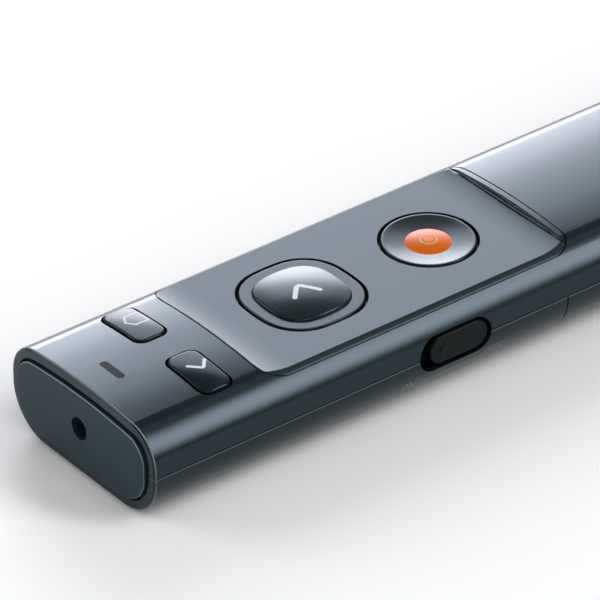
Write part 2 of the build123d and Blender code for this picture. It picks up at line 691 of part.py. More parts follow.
def make_plunger(x, at):
    bottom = PLUNGER_TOP - PLUNGER_LENGTH
    return upright(Circle(PLUNGER_RADIUS), bottom, PLUNGER_TOP, x, at)


def make_light_guide():
    """Clear window in the crown with a leg that reaches down to the light beside the laser."""
    half = WINDOW_LENGTH / 2
    start, end = WINDOW_STATION - half, WINDOW_STATION + half
    arm_end = GUIDE_SHIFT + GUIDE_LEG / 2
    window = upright(window_shape(), GUIDE_FOOT, FAR, at=WINDOW_STATION)
    window &= lengthwise(body_face(), 0, SHELL_LENGTH)
    arm = block(0, arm_end, start, end, GUIDE_FOOT, HEIGHT) & inner_space()
    leg_foot = BOARD_TOP + LED_HEIGHT + GUIDE_LED_GAP
    leg = block(arm_end - GUIDE_LEG, arm_end, start, end, leg_foot, GUIDE_FOOT)
    return window + arm + leg


# ---------------------------------------------------------------- switch


def make_power_switch_knob():
    """Slide with a flange behind the slot and a fork that drives the switch's lever."""
    flange_front = KNOB_FLANGE_BACK + KNOB_FLANGE_THICKNESS
    place = {"at": KNOB_STATION, "height": SWITCH_Z}
    knob = sideways(SlotOverall(KNOB_LENGTH, KNOB_HEIGHT), flange_front - KNOB_ROOT, KNOB_FACE_X, **place)
    knob = fillet(edges_at(knob, Axis.X, KNOB_FACE_X), KNOB_EDGE_RADIUS)
    flange_length = KNOB_LENGTH + 2 * (KNOB_END_GAP + SWITCH_TRAVEL + KNOB_FLANGE_LAP)
    flange_height = SLOT_HEIGHT + 2 * KNOB_FLANGE_LAP
    plate = RectangleRounded(flange_length, flange_height, KNOB_FLANGE_CORNER)
    knob += sideways(plate, KNOB_FLANGE_BACK, flange_front, **place)
    pip_station = KNOB_STATION - (KNOB_LENGTH - KNOB_HEIGHT) / 2
    pip = scale(Sphere(KNOB_PIP_RADIUS), (KNOB_PIP_HEIGHT / KNOB_PIP_RADIUS, 1, 1))
    knob += Pos(KNOB_FACE_X, station(pip_station), SWITCH_Z) * pip
    prong = Rectangle(FORK_PRONG, LEVER_HEIGHT + 2 * FORK_SPARE)
    prong_tip = BOARD_HALF_WIDTH + FORK_SPARE
    offset = (LEVER_LENGTH + FORK_PRONG) / 2 + LEVER_CLEARANCE
    for side in (-1, 1):
        knob += sideways(prong, prong_tip, KNOB_FLANGE_BACK, KNOB_STATION + side * offset, LEVER_Z)
    return knob


def make_slide_switch():
    """Small edge switch under the board, with a window for its lever."""
    inner = BOARD_HALF_WIDTH - SLIDER_WIDTH
    middle = KNOB_STATION - SWITCH_TRAVEL / 2
    body = block(
        inner,
        BOARD_HALF_WIDTH,
        middle - SLIDER_LENGTH / 2,
        middle + SLIDER_LENGTH / 2,
        BOARD_BOTTOM - SLIDER_HEIGHT,
        BOARD_BOTTOM,
    )
    window = LEVER_LENGTH + SWITCH_TRAVEL + LEVER_WINDOW_SPARE
    height = LEVER_HEIGHT + 2 * LEVER_CLEARANCE
    depth = LEVER_DEPTH + LEVER_ROOT_GAP
    slot = sideways(Rectangle(window, height), BOARD_HALF_WIDTH - depth, FAR, middle, LEVER_Z)
    return body - slot


def make_slide_switch_lever():
    lever = Rectangle(LEVER_LENGTH, LEVER_HEIGHT)
    root, tip = BOARD_HALF_WIDTH - LEVER_DEPTH, KNOB_FLANGE_BACK - LEVER_CLEARANCE
    return sideways(lever, root, tip, KNOB_STATION, LEVER_Z)


# ---------------------------------------------------------------- board


def screw_places():
    return [(side * SCREW_X, at) for at in SCREW_STATIONS for side in (-1, 1)]


def tact_places():
    return [
        (0, NEXT_STATION),
        (0, LASER_STATION),
        (SMALL_X, SMALL_STATION),
        (-SMALL_X, SMALL_STATION),
    ]


def make_circuit_board():
    """Board with a fork at the front for the laser and four screw holes."""
    length = BOARD_END - BOARD_START
    middle = (BOARD_START + BOARD_END) / 2
    outline = RectangleRounded(2 * BOARD_HALF_WIDTH, length, BOARD_CORNER)
    board = upright(outline, BOARD_BOTTOM, BOARD_TOP, at=middle)
    board -= block(-NOTCH_HALF_WIDTH, NOTCH_HALF_WIDTH, -FAR, NOTCH_END, 0, FAR)
    for x, at in screw_places():
        board -= upright(Circle(SCREW_RADIUS), 0, FAR, x, at)
    return board


def make_tact_switches():
    """Four low switch housings, each with a well for its plunger."""
    well_floor = PLUNGER_TOP - PLUNGER_LENGTH - KEY_TRAVEL - TACT_WELL_GAP
    well = Circle(PLUNGER_RADIUS + PLUNGER_CLEARANCE)
    housings = []
    for x, at in tact_places():
        housing = upright(RectangleRounded(TACT_SIDE, TACT_SIDE, TACT_CORNER), BOARD_TOP, TACT_TOP, x, at)
        housings.append(housing - upright(well, well_floor, FAR, x, at))
    return Compound(children=housings)


def make_board_screws():
    """Pan heads on the board, shanks in the posts below it."""
    screws = []
    for x, at in screw_places():
        tip = BOARD_BOTTOM - SCREW_LENGTH + SCREW_TIP_GAP
        shank = upright(Circle(SCREW_RADIUS), tip, BOARD_TOP, x, at)
        head = upright(Circle(SCREW_HEAD_RADIUS), BOARD_TOP, BOARD_TOP + SCREW_HEAD_HEIGHT, x, at)
        head = chamfer(head.edges().group_by(Axis.Z)[-1], SCREW_HEAD_CHAMFER)
        drive_z = BOARD_TOP + SCREW_HEAD_HEIGHT - DRIVE_DEPTH
        for turn in (0, 90):
            drive = Rot(0, 0, turn) * Rectangle(DRIVE_LENGTH, DRIVE_WIDTH)
            head -= upright(drive, drive_z, FAR, x, at)
        screws.append(shank + head)
    return Compound(children=screws)


def make_component(x, at, width, length, height):
    start, top = at - length / 2, BOARD_TOP + height
    return block(x - width / 2, x + width / 2, start, start + length, BOARD_TOP, top)


# ---------------------------------------------------------------- laser


def make_laser_barrel():
    """Tube with a lip in front, seated in the front cap."""
    barrel = rod(LASER_BARREL_RADIUS, LASER_BARREL_START, LASER_BARREL_END, LASER_Z)
    bore_start = LASER_BARREL_START + LASER_BARREL_LIP
    barrel -= rod(LASER_BARREL_RADIUS - LASER_BARREL_WALL, bore_start, LASER_BARREL_END, LASER_Z)
    return barrel - rod(APERTURE_RADIUS, LASER_BARREL_START, bore_start, LASER_Z)


def make_laser_lens():
    """Double-convex collimating lens behind the barrel's lip."""
    radius = LASER_BARREL_RADIUS - LASER_BARREL_WALL
    half = LENS_THICKNESS / 2
    curve = (radius**2 + LENS_BULGE**2) / (2 * LENS_BULGE)
    lens = Cylinder(radius, LENS_THICKNESS)
    for side in (-1, 1):
        lens &= Pos(0, 0, side * (half - curve)) * Sphere(curve)
    middle = LASER_BARREL_START + LASER_BARREL_LIP + half
    return Pos(0, station(middle), LASER_Z) * Rot(90, 0, 0) * lens


def make_laser_diode():
    """Flanged can at the back of the barrel."""
    flange_start = LASER_BARREL_END - DIODE_FLANGE
    can = rod(DIODE_CAN_RADIUS, flange_start - DIODE_CAN_LENGTH, flange_start, LASER_Z)
    return can + rod(LASER_BARREL_RADIUS - LASER_BARREL_WALL, flange_start, LASER_BARREL_END, LASER_Z)


# ---------------------------------------------------------------- battery bay


def dock_shape(width, height, corner, growth=0.0):
    """Section of a receiver piece, or of the hole that takes it."""
    shape = RectangleRounded(width + 2 * growth, height + 2 * growth, corner + growth)
    return Pos(0, CELL_Z) * shape


def make_battery_carrier():
    """Inner frame: bay for the cell, ribbed sides, dock for the receiver, contacts' slots."""
    lip_top = SEAM_Z + LIP_RISE + LIP_CLEARANCE + CARRIER_GAP
    carrier = lengthwise(body_face(LIP_INSET + CARRIER_GAP), CARRIER_START, CARRIER_END)
    shoulders = lengthwise(body_face(WALL), CARRIER_START, CARRIER_END)
    carrier += shoulders & block(-FAR, FAR, 0, SHELL_LENGTH, lip_top, FAR)
    deck_end = CELL_CAN_START - CELL_DECK_GAP / 2
    carrier -= block(-FAR, FAR, 0, deck_end, DECK_BOTTOM, FAR)
    bay_radius = CELL_DIAMETER / 2 + CELL_CLEARANCE
    carrier -= rod(bay_radius, BAY_START, BAY_END, CELL_Z)
    carrier -= block(-bay_radius, bay_radius, BAY_START, BAY_END, 0, CELL_Z)
    carrier -= block(-CELL_RIDGE, CELL_RIDGE, deck_end, BAY_END, CELL_Z, FAR)
    carrier -= lengthwise(
        dock_shape(PLUG_WIDTH, PLUG_HEIGHT, PLUG_CORNER, PLUG_CLEARANCE), BAY_END + DOCK_WALL, CARRIER_END
    )
    carrier -= lengthwise(
        dock_shape(HEAD_WIDTH, HEAD_HEIGHT, HEAD_CORNER, HEAD_CLEARANCE), HEAD_START, CARRIER_END
    )
    inner = bay_radius + CARRIER_RIB
    outer = HALF_WIDTH - LIP_INSET - CARRIER_GAP - CARRIER_RIB
    pitch = (BAY_END - BAY_START) / CARRIER_POCKETS
    for index in range(CARRIER_POCKETS):
        start = BAY_START + index * pitch + CARRIER_RIB / 2
        for x in (inner, -outer):
            carrier -= block(x, x + outer - inner, start, start + pitch - CARRIER_RIB, 0, SEAM_Z)
    tab = TAB_WIDTH / 2 + STRIP_CLEARANCE
    ledge = STRIP_Z - STRIP_CLEARANCE
    carrier -= block(-tab, tab, 0, BAY_START, ledge, FAR)
    strip_outer = -STRIP_X - STRIP_CLEARANCE
    carrier -= block(strip_outer, STRIP_WIDTH - STRIP_X + STRIP_CLEARANCE, 0, BAY_END, ledge, FAR)
    arm_start = BAY_END - CONTACT_THICKNESS - STRIP_CLEARANCE
    return carrier - block(strip_outer, 0, arm_start, BAY_END, ledge, FAR)


def contact_tab(x0, x1, end):
    """Strip forward from a contact to the board, with a bent foot on it."""
    start = BOARD_END - TAB_LAP
    strip = block(x0, x1, start, end, STRIP_Z, STRIP_Z + CONTACT_THICKNESS)
    return strip + block(x0, x1, start, start + CONTACT_THICKNESS, BOARD_TOP, STRIP_Z)


def make_positive_contact():
    """Plate that the cell's nub presses on, with a tab forward to the board."""
    half = CONTACT_WIDTH / 2
    top = STRIP_Z + CONTACT_THICKNESS
    plate = block(-half, half, BAY_START, CELL_START, CELL_Z - half, top)
    return plate + contact_tab(-TAB_WIDTH / 2, TAB_WIDTH / 2, BAY_START)


def make_negative_contact():
    """Plate behind the spring, with a strip forward along the carrier to the board."""
    half = CONTACT_WIDTH / 2
    start = BAY_END - CONTACT_THICKNESS
    top = STRIP_Z + ARM_HEIGHT
    plate = block(-half, half, start, BAY_END, CELL_Z - half, top)
    arm = block(-STRIP_X, 0, start, BAY_END, STRIP_Z, top)
    return plate + arm + contact_tab(-STRIP_X, STRIP_WIDTH - STRIP_X, start)


def make_negative_spring():
    """Coil spring between the plate and the cell's flat end."""
    wire = SPRING_WIRE_RADIUS
    height = SPRING_LENGTH - 2 * wire
    coil = Helix(height / SPRING_TURNS, height, SPRING_RADIUS)
    section = Plane(origin=coil @ 0, z_dir=coil % 0) * Circle(wire)
    spring = sweep(section, path=coil)
    return Pos(0, station(CELL_END + wire), CELL_Z) * Rot(-90, 0, 0) * spring


def make_battery():
    can = rod(CELL_DIAMETER / 2, CELL_CAN_START, CELL_END, CELL_Z)
    can = chamfer(can.edges().filter_by(GeomType.CIRCLE), CELL_EDGE_CHAMFER)
    nub = rod(CELL_NUB_RADIUS, CELL_START, CELL_END, CELL_Z)
    return can + nub


# ---------------------------------------------------------------- receiver


def make_receiver_body():
    """Moulded head of the receiver, flush with the tail."""
    head = lengthwise(dock_shape(HEAD_WIDTH, HEAD_HEIGHT, HEAD_CORNER), HEAD_START, RECEIVER_END)
    return fillet(edges_at(head, Axis.Y, station(RECEIVER_END)), HEAD_END_RADIUS)


def make_receiver_plug():
    """Folded sheet shell of the plug, with the two latch windows in its upper side."""
    hollow = -PLUG_SHEET
    shell = lengthwise(dock_shape(PLUG_WIDTH, PLUG_HEIGHT, PLUG_CORNER), PLUG_START, HEAD_START)
    shell -= lengthwise(dock_shape(PLUG_WIDTH, PLUG_HEIGHT, PLUG_CORNER, hollow), PLUG_START, HEAD_START)
    start = PLUG_START + PLUG_WINDOW_START
    half = PLUG_WINDOW_WIDTH / 2
    for x in (-PLUG_WINDOW_X, PLUG_WINDOW_X):
        shell -= block(x - half, x + half, start, start + PLUG_WINDOW_LENGTH, CELL_Z, FAR)
    return shell


def make_receiver_tongue():
    """Insulator against the plug's lower side, with a groove for each contact."""
    inside = PLUG_WIDTH / 2 - PLUG_CORNER
    floor = CELL_Z - PLUG_HEIGHT / 2 + PLUG_SHEET
    top = floor + TONGUE_THICKNESS
    start = PLUG_START + TONGUE_SETBACK
    tongue = block(-inside, inside, start, HEAD_START, floor, top)
    first, last = start + CONTACT_GROOVE_START, start + CONTACT_GROOVE_END
    half = CONTACT_GROOVE_WIDTH / 2
    for x in CONTACT_XS:
        tongue -= block(x - half, x + half, first, last, top - CONTACT_GROOVE, FAR)
    return tongue


def make_parts():
    tube = shell_tube()
    return {
        "top_cover": make_top_cover(tube),
        "bottom_cover": make_bottom_cover(tube),
        "battery_door": make_battery_door(tube),
        "front_cap": make_front_cap(),
        "tail_cap": make_tail_cap(),
        "control_panel": make_control_panel(),
        "next_button": make_next_button(),
        "laser_button": make_laser_button(),
        "laser_button_dot": make_laser_button_dot(),
        "previous_button": make_small_button(1),
        "home_button": make_small_button(-1),
        "next_plunger": make_plunger(0, NEXT_STATION),
        "laser_plunger": make_plunger(0, LASER_STATION),
        "previous_plunger": make_plunger(SMALL_X, SMALL_STATION),
        "home_plunger": make_plunger(-SMALL_X, SMALL_STATION),
        "light_guide": make_light_guide(),
        "power_switch_knob": make_power_switch_knob(),
        "slide_switch": make_slide_switch(),
        "slide_switch_lever": make_slide_switch_lever(),
        "circuit_board": make_circuit_board(),
        "tact_switches": make_tact_switches(),
        "board_screws": make_board_screws(),
        **{name: make_component(*sizes) for name, sizes in COMPONENTS.items()},
        "laser_barrel": make_laser_barrel(),
        "laser_lens": make_laser_lens(),
        "laser_diode": make_laser_diode(),
        "battery_carrier": make_battery_carrier(),
        "positive_contact": make_positive_contact(),
        "negative_contact": make_negative_contact(),
        "negative_spring": make_negative_spring(),
        "battery": make_battery(),
        "receiver_body": make_receiver_body(),
        "receiver_plug": make_receiver_plug(),
        "receiver_tongue": make_receiver_tongue(),
    }


for name, shape in make_parts().items():
    export_step(shape, f"parts/{name}.step")
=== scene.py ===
import json
import math

import bmesh
import bpy
from mathutils import Matrix, Vector
from mathutils.bvhtree import BVHTree


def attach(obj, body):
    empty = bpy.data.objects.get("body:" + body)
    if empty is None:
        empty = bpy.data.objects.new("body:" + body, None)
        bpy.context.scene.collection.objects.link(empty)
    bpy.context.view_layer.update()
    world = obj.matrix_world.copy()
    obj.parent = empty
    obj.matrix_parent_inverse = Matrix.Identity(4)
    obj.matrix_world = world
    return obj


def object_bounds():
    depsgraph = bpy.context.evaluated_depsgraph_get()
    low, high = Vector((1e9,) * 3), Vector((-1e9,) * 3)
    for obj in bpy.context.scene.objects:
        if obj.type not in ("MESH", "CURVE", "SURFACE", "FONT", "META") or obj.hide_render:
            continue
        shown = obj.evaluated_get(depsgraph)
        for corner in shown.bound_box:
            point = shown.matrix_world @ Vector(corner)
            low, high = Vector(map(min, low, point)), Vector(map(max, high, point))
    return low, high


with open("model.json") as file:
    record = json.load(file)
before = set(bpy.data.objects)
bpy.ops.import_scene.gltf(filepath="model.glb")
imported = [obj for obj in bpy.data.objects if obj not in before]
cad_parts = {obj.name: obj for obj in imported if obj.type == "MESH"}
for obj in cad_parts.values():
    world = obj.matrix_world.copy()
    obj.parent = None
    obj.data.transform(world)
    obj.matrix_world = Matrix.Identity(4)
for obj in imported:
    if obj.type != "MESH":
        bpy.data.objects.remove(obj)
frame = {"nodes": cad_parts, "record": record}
cad_low, cad_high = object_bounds()

# Lengths are in millimetres unless said otherwise. +Y runs from the laser's end to the tail, +X to
# the switch's side and +Z up out of the keys.
MM = 0.001
RIM_Y = -68.5            # the front rim plane; a station is a distance behind it
END_Y = -RIM_Y           # both rims are this far from the middle

# ---------------------------------------------------------------- node helpers

RELIEF = 0.01            # the height that a bump of full strength stands for


def srgb(r, g, b):
    """A colour from 0-255 display values, as the linear tuple the shaders take."""
    def linear(c):
        c = c / 255
        return c / 12.92 if c <= 0.04045 else ((c + 0.055) / 1.055) ** 2.4
    return (linear(r), linear(g), linear(b), 1.0)


def scaled(colour, factor):
    """The colour made lighter or darker."""
    return tuple(c * factor for c in colour[:3]) + (1.0,)


class Graph:
    """A node tree with short ways to add nodes and join them. Wherever a value goes into a node, it
    is either another node's output or a plain number, vector or colour."""

    def __init__(self, tree):
        self.tree = tree
        self.tree.nodes.clear()

    def add(self, kind, **settings):
        node = self.tree.nodes.new(kind)
        for key, value in settings.items():
            setattr(node, key, value)
        return node

    def put(self, socket, value):
        if isinstance(value, bpy.types.NodeSocket):
            self.tree.links.new(value, socket)
        else:
            socket.default_value = value

    def math(self, operation, *values):
        node = self.add("ShaderNodeMath", operation=operation)
        for socket, value in zip(node.inputs, values):
            self.put(socket, value)
        return node.outputs[0]

    def vector(self, operation, first, second):
        node = self.add("ShaderNodeVectorMath", operation=operation)
        self.put(node.inputs[0], first)
        self.put(node.inputs["Scale" if operation == "SCALE" else 1], second)
        return node.outputs["Value" if operation == "DOT_PRODUCT" else "Vector"]

    def split(self, vector):
        """The outputs X, Y and Z of a vector."""
        node = self.add("ShaderNodeSeparateXYZ")
        self.put(node.inputs[0], vector)
        return node.outputs

    def ramp(self, value, start, end, low=0.0, high=1.0, smooth=True):
        """Goes from low to high while the value goes from start to end, and is flat outside them."""
        node = self.add("ShaderNodeMapRange", interpolation_type="SMOOTHSTEP" if smooth else "LINEAR")
        for name, item in (("Value", value), ("From Min", start), ("From Max", end),
                           ("To Min", low), ("To Max", high)):
            self.put(node.inputs[name], item)
        return node.outputs["Result"]

    def mix(self, factor, first, second):
        """Blends two colours, which are sockets 6 and 7 of the node's inputs and 2 of its outputs."""
        node = self.add("ShaderNodeMix", data_type="RGBA")
        self.put(node.inputs["Factor"], factor)
        self.put(node.inputs[6], first)
        self.put(node.inputs[7], second)
        return node.outputs[2]

    def noise(self, where, scale, detail=2.0, rough=0.6):
        """Noise with about `scale` cells in a metre."""
        node = self.add("ShaderNodeTexNoise")
        self.put(node.inputs["Vector"], where)
        for name, value in (("Scale", scale), ("Detail", detail), ("Roughness", rough)):
            node.inputs[name].default_value = value
        return node.outputs["Fac"]

    def stretched(self, where, scale):
        node = self.add("ShaderNodeMapping")
        self.put(node.inputs["Vector"], where)
        node.inputs["Scale"].default_value = scale
        return node.outputs["Vector"]

    def bump(self, height, strength):
        node = self.add("ShaderNodeBump")
        self.put(node.inputs["Height"], height)
        node.inputs["Strength"].default_value = strength
        node.inputs["Distance"].default_value = RELIEF * MM
        return node.outputs["Normal"]


def new_material(name):
    """A material with a plain shader, as (material, graph, shader, where), in which where is the
    output of the object's own coordinates, in metres."""
    material = bpy.data.materials.new(name)
    material.use_nodes = True
    graph = Graph(material.node_tree)
    shader = graph.add("ShaderNodeBsdfPrincipled")
    output = graph.add("ShaderNodeOutputMaterial")
    graph.put(output.inputs["Surface"], shader.outputs["BSDF"])
    where = graph.add("ShaderNodeTexCoord").outputs["Object"]
    return material, graph, shader, where


def set_sockets(shader, sockets):
    """Plain values for the shader's sockets, with _ for the spaces in their names."""
    for key, value in sockets.items():
        shader.inputs[key.replace("_", " ")].default_value = value


# ---------------------------------------------------------------- painted highlight on the end edges

HIGHLIGHT_START = 0.6          # the painted highlight fades in from this far from the rims
HIGHLIGHT_FULL = 0.5           # and is full from here outwards
HIGHLIGHT_BLEND = 0.1          # half the blend at each bound of the turn towards the end
HIGHLIGHT_UPWARD = (-0.1, 0.6)   # upward parts of the normal between which it grows
HIGHLIGHT_SHARE = (0.4, 1.0)   # from the underside and the sides to the top


def edge_highlight_mask(graph, where, narrow, wide):
    """Up to 1 on the rounded edges round both ends of the body, where a highlight is painted into the
    colour, strongest on top. narrow and wide bound how far the surface is turned towards the end."""
    normal = graph.split(graph.add("ShaderNodeNewGeometry").outputs["Normal"])
    turned = graph.math("ABSOLUTE", normal["Y"])
    band = graph.math("MULTIPLY", graph.ramp(turned, narrow - HIGHLIGHT_BLEND, narrow + HIGHLIGHT_BLEND),
                      graph.ramp(turned, wide - HIGHLIGHT_BLEND, wide + HIGHLIGHT_BLEND, 1.0, 0.0))
    band = graph.math("MULTIPLY", band, graph.ramp(normal["Z"], *HIGHLIGHT_UPWARD, *HIGHLIGHT_SHARE))
    along = graph.math("ABSOLUTE", graph.split(where)["Y"])
    near_rim = graph.ramp(along, (END_Y - HIGHLIGHT_START) * MM, (END_Y - HIGHLIGHT_FULL) * MM)
    return graph.math("MULTIPLY", band, near_rim)


# ---------------------------------------------------------------- moulded and metal surfaces

MOTTLE_SCALE = 60.0      # cells of the slow mottling in a metre
GRAIN_SHARE = 0.8        # the grain's share of the tone; the mottling has the rest
TONE_SPAN = (0.35, 0.65)   # tones between which the colour lightens
GLOSS_SPAN = (0.3, 0.7)    # tones and streaks between which the roughness rises

STREAK_SCALE = 900.0     # cells of the brushed streaks in a metre, before they are stretched
STREAK_DEPTH = 0.2
TARNISH_SCALE = 220.0
TARNISH_SPAN = (0.35, 0.7)
TARNISH = 0.82           # the tarnished colour's share of the clean one
POLISHED = 0.08          # how much smoother than the middle a streak gets
DULLED = 0.1             # and how much rougher


def moulded(name, colour, rough=0.35, spread=0.02, grain=0.12, depth=0.15, tint=0.12, ior=1.5,
            metallic=0.0, highlight_paint=None, **sockets):
    """Moulded or painted plastic: a fine spark grain, faint slow mottling and an uneven gloss. The tuple
    after metallic, if given, holds the colour of a highlight painted on the end edges and the two bounds
    of its mask."""
    material, graph, shader, where = new_material(name)
    fine = graph.noise(where, 1 / MM / grain)
    slow = graph.noise(where, MOTTLE_SCALE, rough=0.5)
    tone = graph.math("ADD", graph.math("MULTIPLY", fine, GRAIN_SHARE),
                      graph.math("MULTIPLY", slow, 1 - GRAIN_SHARE))
    paint = graph.mix(graph.ramp(tone, *TONE_SPAN), scaled(colour, 1 - tint), scaled(colour, 1 + tint))
    # A lighter colour on the end edges, strongest on top: a painted highlight.
    if highlight_paint:
        paint = graph.mix(edge_highlight_mask(graph, where, *highlight_paint[1:]), paint, highlight_paint[0])
    gloss = graph.ramp(tone, *GLOSS_SPAN, rough - spread, rough + spread, smooth=False)
    graph.put(shader.inputs["Base Color"], paint)
    graph.put(shader.inputs["Roughness"], gloss)
    graph.put(shader.inputs["Normal"], graph.bump(fine, depth))
    shader.inputs["IOR"].default_value = ior
    shader.inputs["Metallic"].default_value = metallic
    set_sockets(shader, sockets)
    return material


def metal(name, colour, rough=0.3, brush=(1, 1, 1)):
    """Plated, drawn or turned metal: a thin tarnish and streaks, which run along the axes where
    brush is 1 and are the finer across the others."""
    material, graph, shader, where = new_material(name)
    streak = graph.noise(graph.stretched(where, brush), STREAK_SCALE, detail=3.0)
    cloud = graph.noise(where, TARNISH_SCALE, detail=3.0)
    plate = graph.mix(graph.ramp(cloud, *TARNISH_SPAN), scaled(colour, TARNISH), colour)
    gloss = graph.ramp(streak, *GLOSS_SPAN, rough - POLISHED, rough + DULLED)
    graph.put(shader.inputs["Base Color"], plate)
    graph.put(shader.inputs["Roughness"], gloss)
    graph.put(shader.inputs["Normal"], graph.bump(streak, STREAK_DEPTH))
    shader.inputs["Metallic"].default_value = 1.0
    return material


# ---------------------------------------------------------------- materials of the parts

BODY = (0.002, 0.0085, 0.009, 1.0)
SHEEN = (0.65, 0.82, 1.0, 1.0)   # the slate finish's cool reflections
EDGE_HIGHLIGHT = (0.25, 0.29, 0.315, 1.0)  # the slate finish's colour where a highlight is painted on its end edges

FINISHES = {
    # The casing and the end cap carry a highlight painted into the colour of their end edges.
    "casing": moulded("slate_casing", BODY, rough=0.19, ior=1.43, highlight_paint=(EDGE_HIGHLIGHT, 0.15, 0.5),
                      Specular_Tint=SHEEN),
    "end_cap": moulded("slate_cap", (0.013, 0.032, 0.041, 1.0), rough=0.4, ior=1.3,
                       highlight_paint=(EDGE_HIGHLIGHT, 0.2, 0.8), Specular_Tint=SHEEN),
    "panel": moulded("slate_panel", BODY, rough=0.19, ior=1.43, Specular_Tint=SHEEN),
    "key": moulded("slate_key", (0.006, 0.011, 0.013, 1.0), rough=0.22, ior=1.37, Specular_Tint=SHEEN),
    "key_dot": moulded("orange_key", srgb(207, 96, 5), rough=0.24, tint=0.05, ior=1.19),
    "plunger": moulded("black_plunger", (0.02, 0.02, 0.021, 1.0), rough=0.5),
    "light_guide": moulded("smoked_guide", srgb(34, 36, 41), rough=0.4, tint=0.05, ior=1.12),
    "switch_knob": moulded("black_knob", (0.005, 0.0075, 0.0085, 1.0), rough=0.38, grain=0.2, depth=0.3,
                           ior=1.2),
    "switch_housing": metal("tinned_steel", (0.62, 0.62, 0.60, 1.0), rough=0.35, brush=(1, 8, 1)),
    "board": moulded("solder_mask", (0.016, 0.115, 0.045, 1.0), rough=0.3, tint=0.25, grain=0.4,
                     Coat_Weight=0.5, Coat_Roughness=0.12),
    "screw": metal("zinc_screw", (0.60, 0.60, 0.57, 1.0), rough=0.3),
    "led": moulded("led_resin", (0.72, 0.74, 0.66, 1.0), rough=0.15, tint=0.06,
                   Transmission_Weight=0.4),
    "chip": moulded("chip_epoxy", (0.014, 0.014, 0.015, 1.0), rough=0.55, grain=0.08, depth=0.4),
    "crystal": metal("crystal_can", (0.66, 0.65, 0.61, 1.0), rough=0.28, brush=(12, 1, 1)),
    "inductor": moulded("ferrite", (0.05, 0.05, 0.055, 1.0), rough=0.62, grain=0.1, depth=0.6,
                        tint=0.3, metallic=0.3),
    "laser_barrel": metal("turned_brass", (0.72, 0.50, 0.20, 1.0), rough=0.28, brush=(1, 14, 1)),
    "lens": moulded("lens_glass", (0.85, 0.93, 0.94, 1.0), rough=0.05, tint=0.02,
                    Transmission_Weight=0.9),
    "diode": metal("gilt_can", (0.86, 0.66, 0.30, 1.0), rough=0.24),
    "carrier": moulded("black_carrier", (0.018, 0.018, 0.019, 1.0), rough=0.48, grain=0.3, depth=0.35),
    "contact": metal("nickel_contact", (0.64, 0.61, 0.56, 1.0), rough=0.26, brush=(1, 1, 10)),
    "cell": moulded("cell_wrap", (0.07, 0.075, 0.085, 1.0), rough=0.25, metallic=0.7, grain=0.5),
    "receiver_body": moulded("black_receiver", (0.016, 0.018, 0.02, 1.0), rough=0.4, grain=0.2,
                             depth=0.3),
    "plug_shell": metal("plug_steel", (0.66, 0.66, 0.65, 1.0), rough=0.27, brush=(10, 1, 10)),
    "plug_tongue": moulded("plug_tongue", (0.72, 0.73, 0.70, 1.0), rough=0.35, tint=0.05),
}

# A darker, glossier copy of the key finish on the two small keys: painted shade, for the shade that their
# flat tops don't cast.
SHADED_SMALL_KEY = moulded("shaded_small_key", (0.004, 0.009, 0.0105, 1.0), rough=0.14, ior=1.3, Specular_Tint=SHEEN)
SMALL_KEYS = ("home_button", "previous_button")

for part in frame["record"]["subparts"]:
    finish = SHADED_SMALL_KEY if part["node"] in SMALL_KEYS else FINISHES[part["material_slot"]]
    node = frame["nodes"][part["node"]]
    node.data.materials.clear()
    node.data.materials.append(finish)

INK_GRAIN = 0.06
MARK_WHITE = moulded("mark_white", srgb(214, 216, 224), rough=0.5, ior=1.2, tint=0.03, grain=INK_GRAIN)
MARK_GREY = moulded("mark_grey", srgb(98, 108, 112), rough=0.5, ior=1.4, tint=0.05, grain=INK_GRAIN)
DOT_RING = moulded("dot_ring", srgb(202, 144, 102), rough=0.3, ior=1.18, tint=0.04, grain=INK_GRAIN)
DOT_CENTRE = moulded("dot_centre", srgb(222, 124, 50), rough=0.3, ior=1.18, tint=0.04, grain=INK_GRAIN)

# ---------------------------------------------------------------- strokes
# A stroke is (points, width, closed): a line of flat points, the ink's width along it, and whether
# its last point joins its first.

BLUNT_STROKE = 0.3       # open strokes wider than this have round corners
JOIN_RADIUS = 0.75       # a round corner's radius as a share of the stroke's width
CORNER_STEPS = 6         # steps of the arc of a round corner
MITRE_LIMIT = 0.3        # keeps a sharp corner's mitre from reaching too far
END_STEPS = 5            # rows of a stroke's round end
TIP_SHARE = 0.12         # the tip's share of the stroke's width
MARK_STEP = 0.22         # longest mesh edge along a stroke
CIRCLE_POINTS = 40


def circle(x, y, radius):
    turn = 2 * math.pi / CIRCLE_POINTS
    return [(x + radius * math.cos(k * turn), y + radius * math.sin(k * turn))
            for k in range(CIRCLE_POINTS)]


def rounded(points, radius):
    """The line with each inner corner replaced by an arc."""
    line = [points[0]]
    for before, corner, after in zip(points, points[1:], points[2:]):
        back = (before - corner).normalized()
        on = (after - corner).normalized()
        half = back.angle(on) / 2
        centre = corner + (back + on).normalized() * (radius / math.sin(half))
        start = corner + back * (radius / math.tan(half)) - centre
        end = corner + on * (radius / math.tan(half)) - centre
        angle = start.angle_signed(end)
        for k in range(CORNER_STEPS + 1):
            swing = -angle * k / CORNER_STEPS
            line.append(centre + Matrix.Rotation(swing, 2) @ start)
    return line + [points[-1]]


def round_end(point, outward, half):
    """The rows of a stroke's end, from its tip inwards: each row's middle and share of the width."""
    turns = [k / END_STEPS * math.pi / 2 for k in range(END_STEPS)]
    return [(point + outward * (half * math.cos(turn)), max(math.sin(turn), TIP_SHARE))
            for turn in turns]


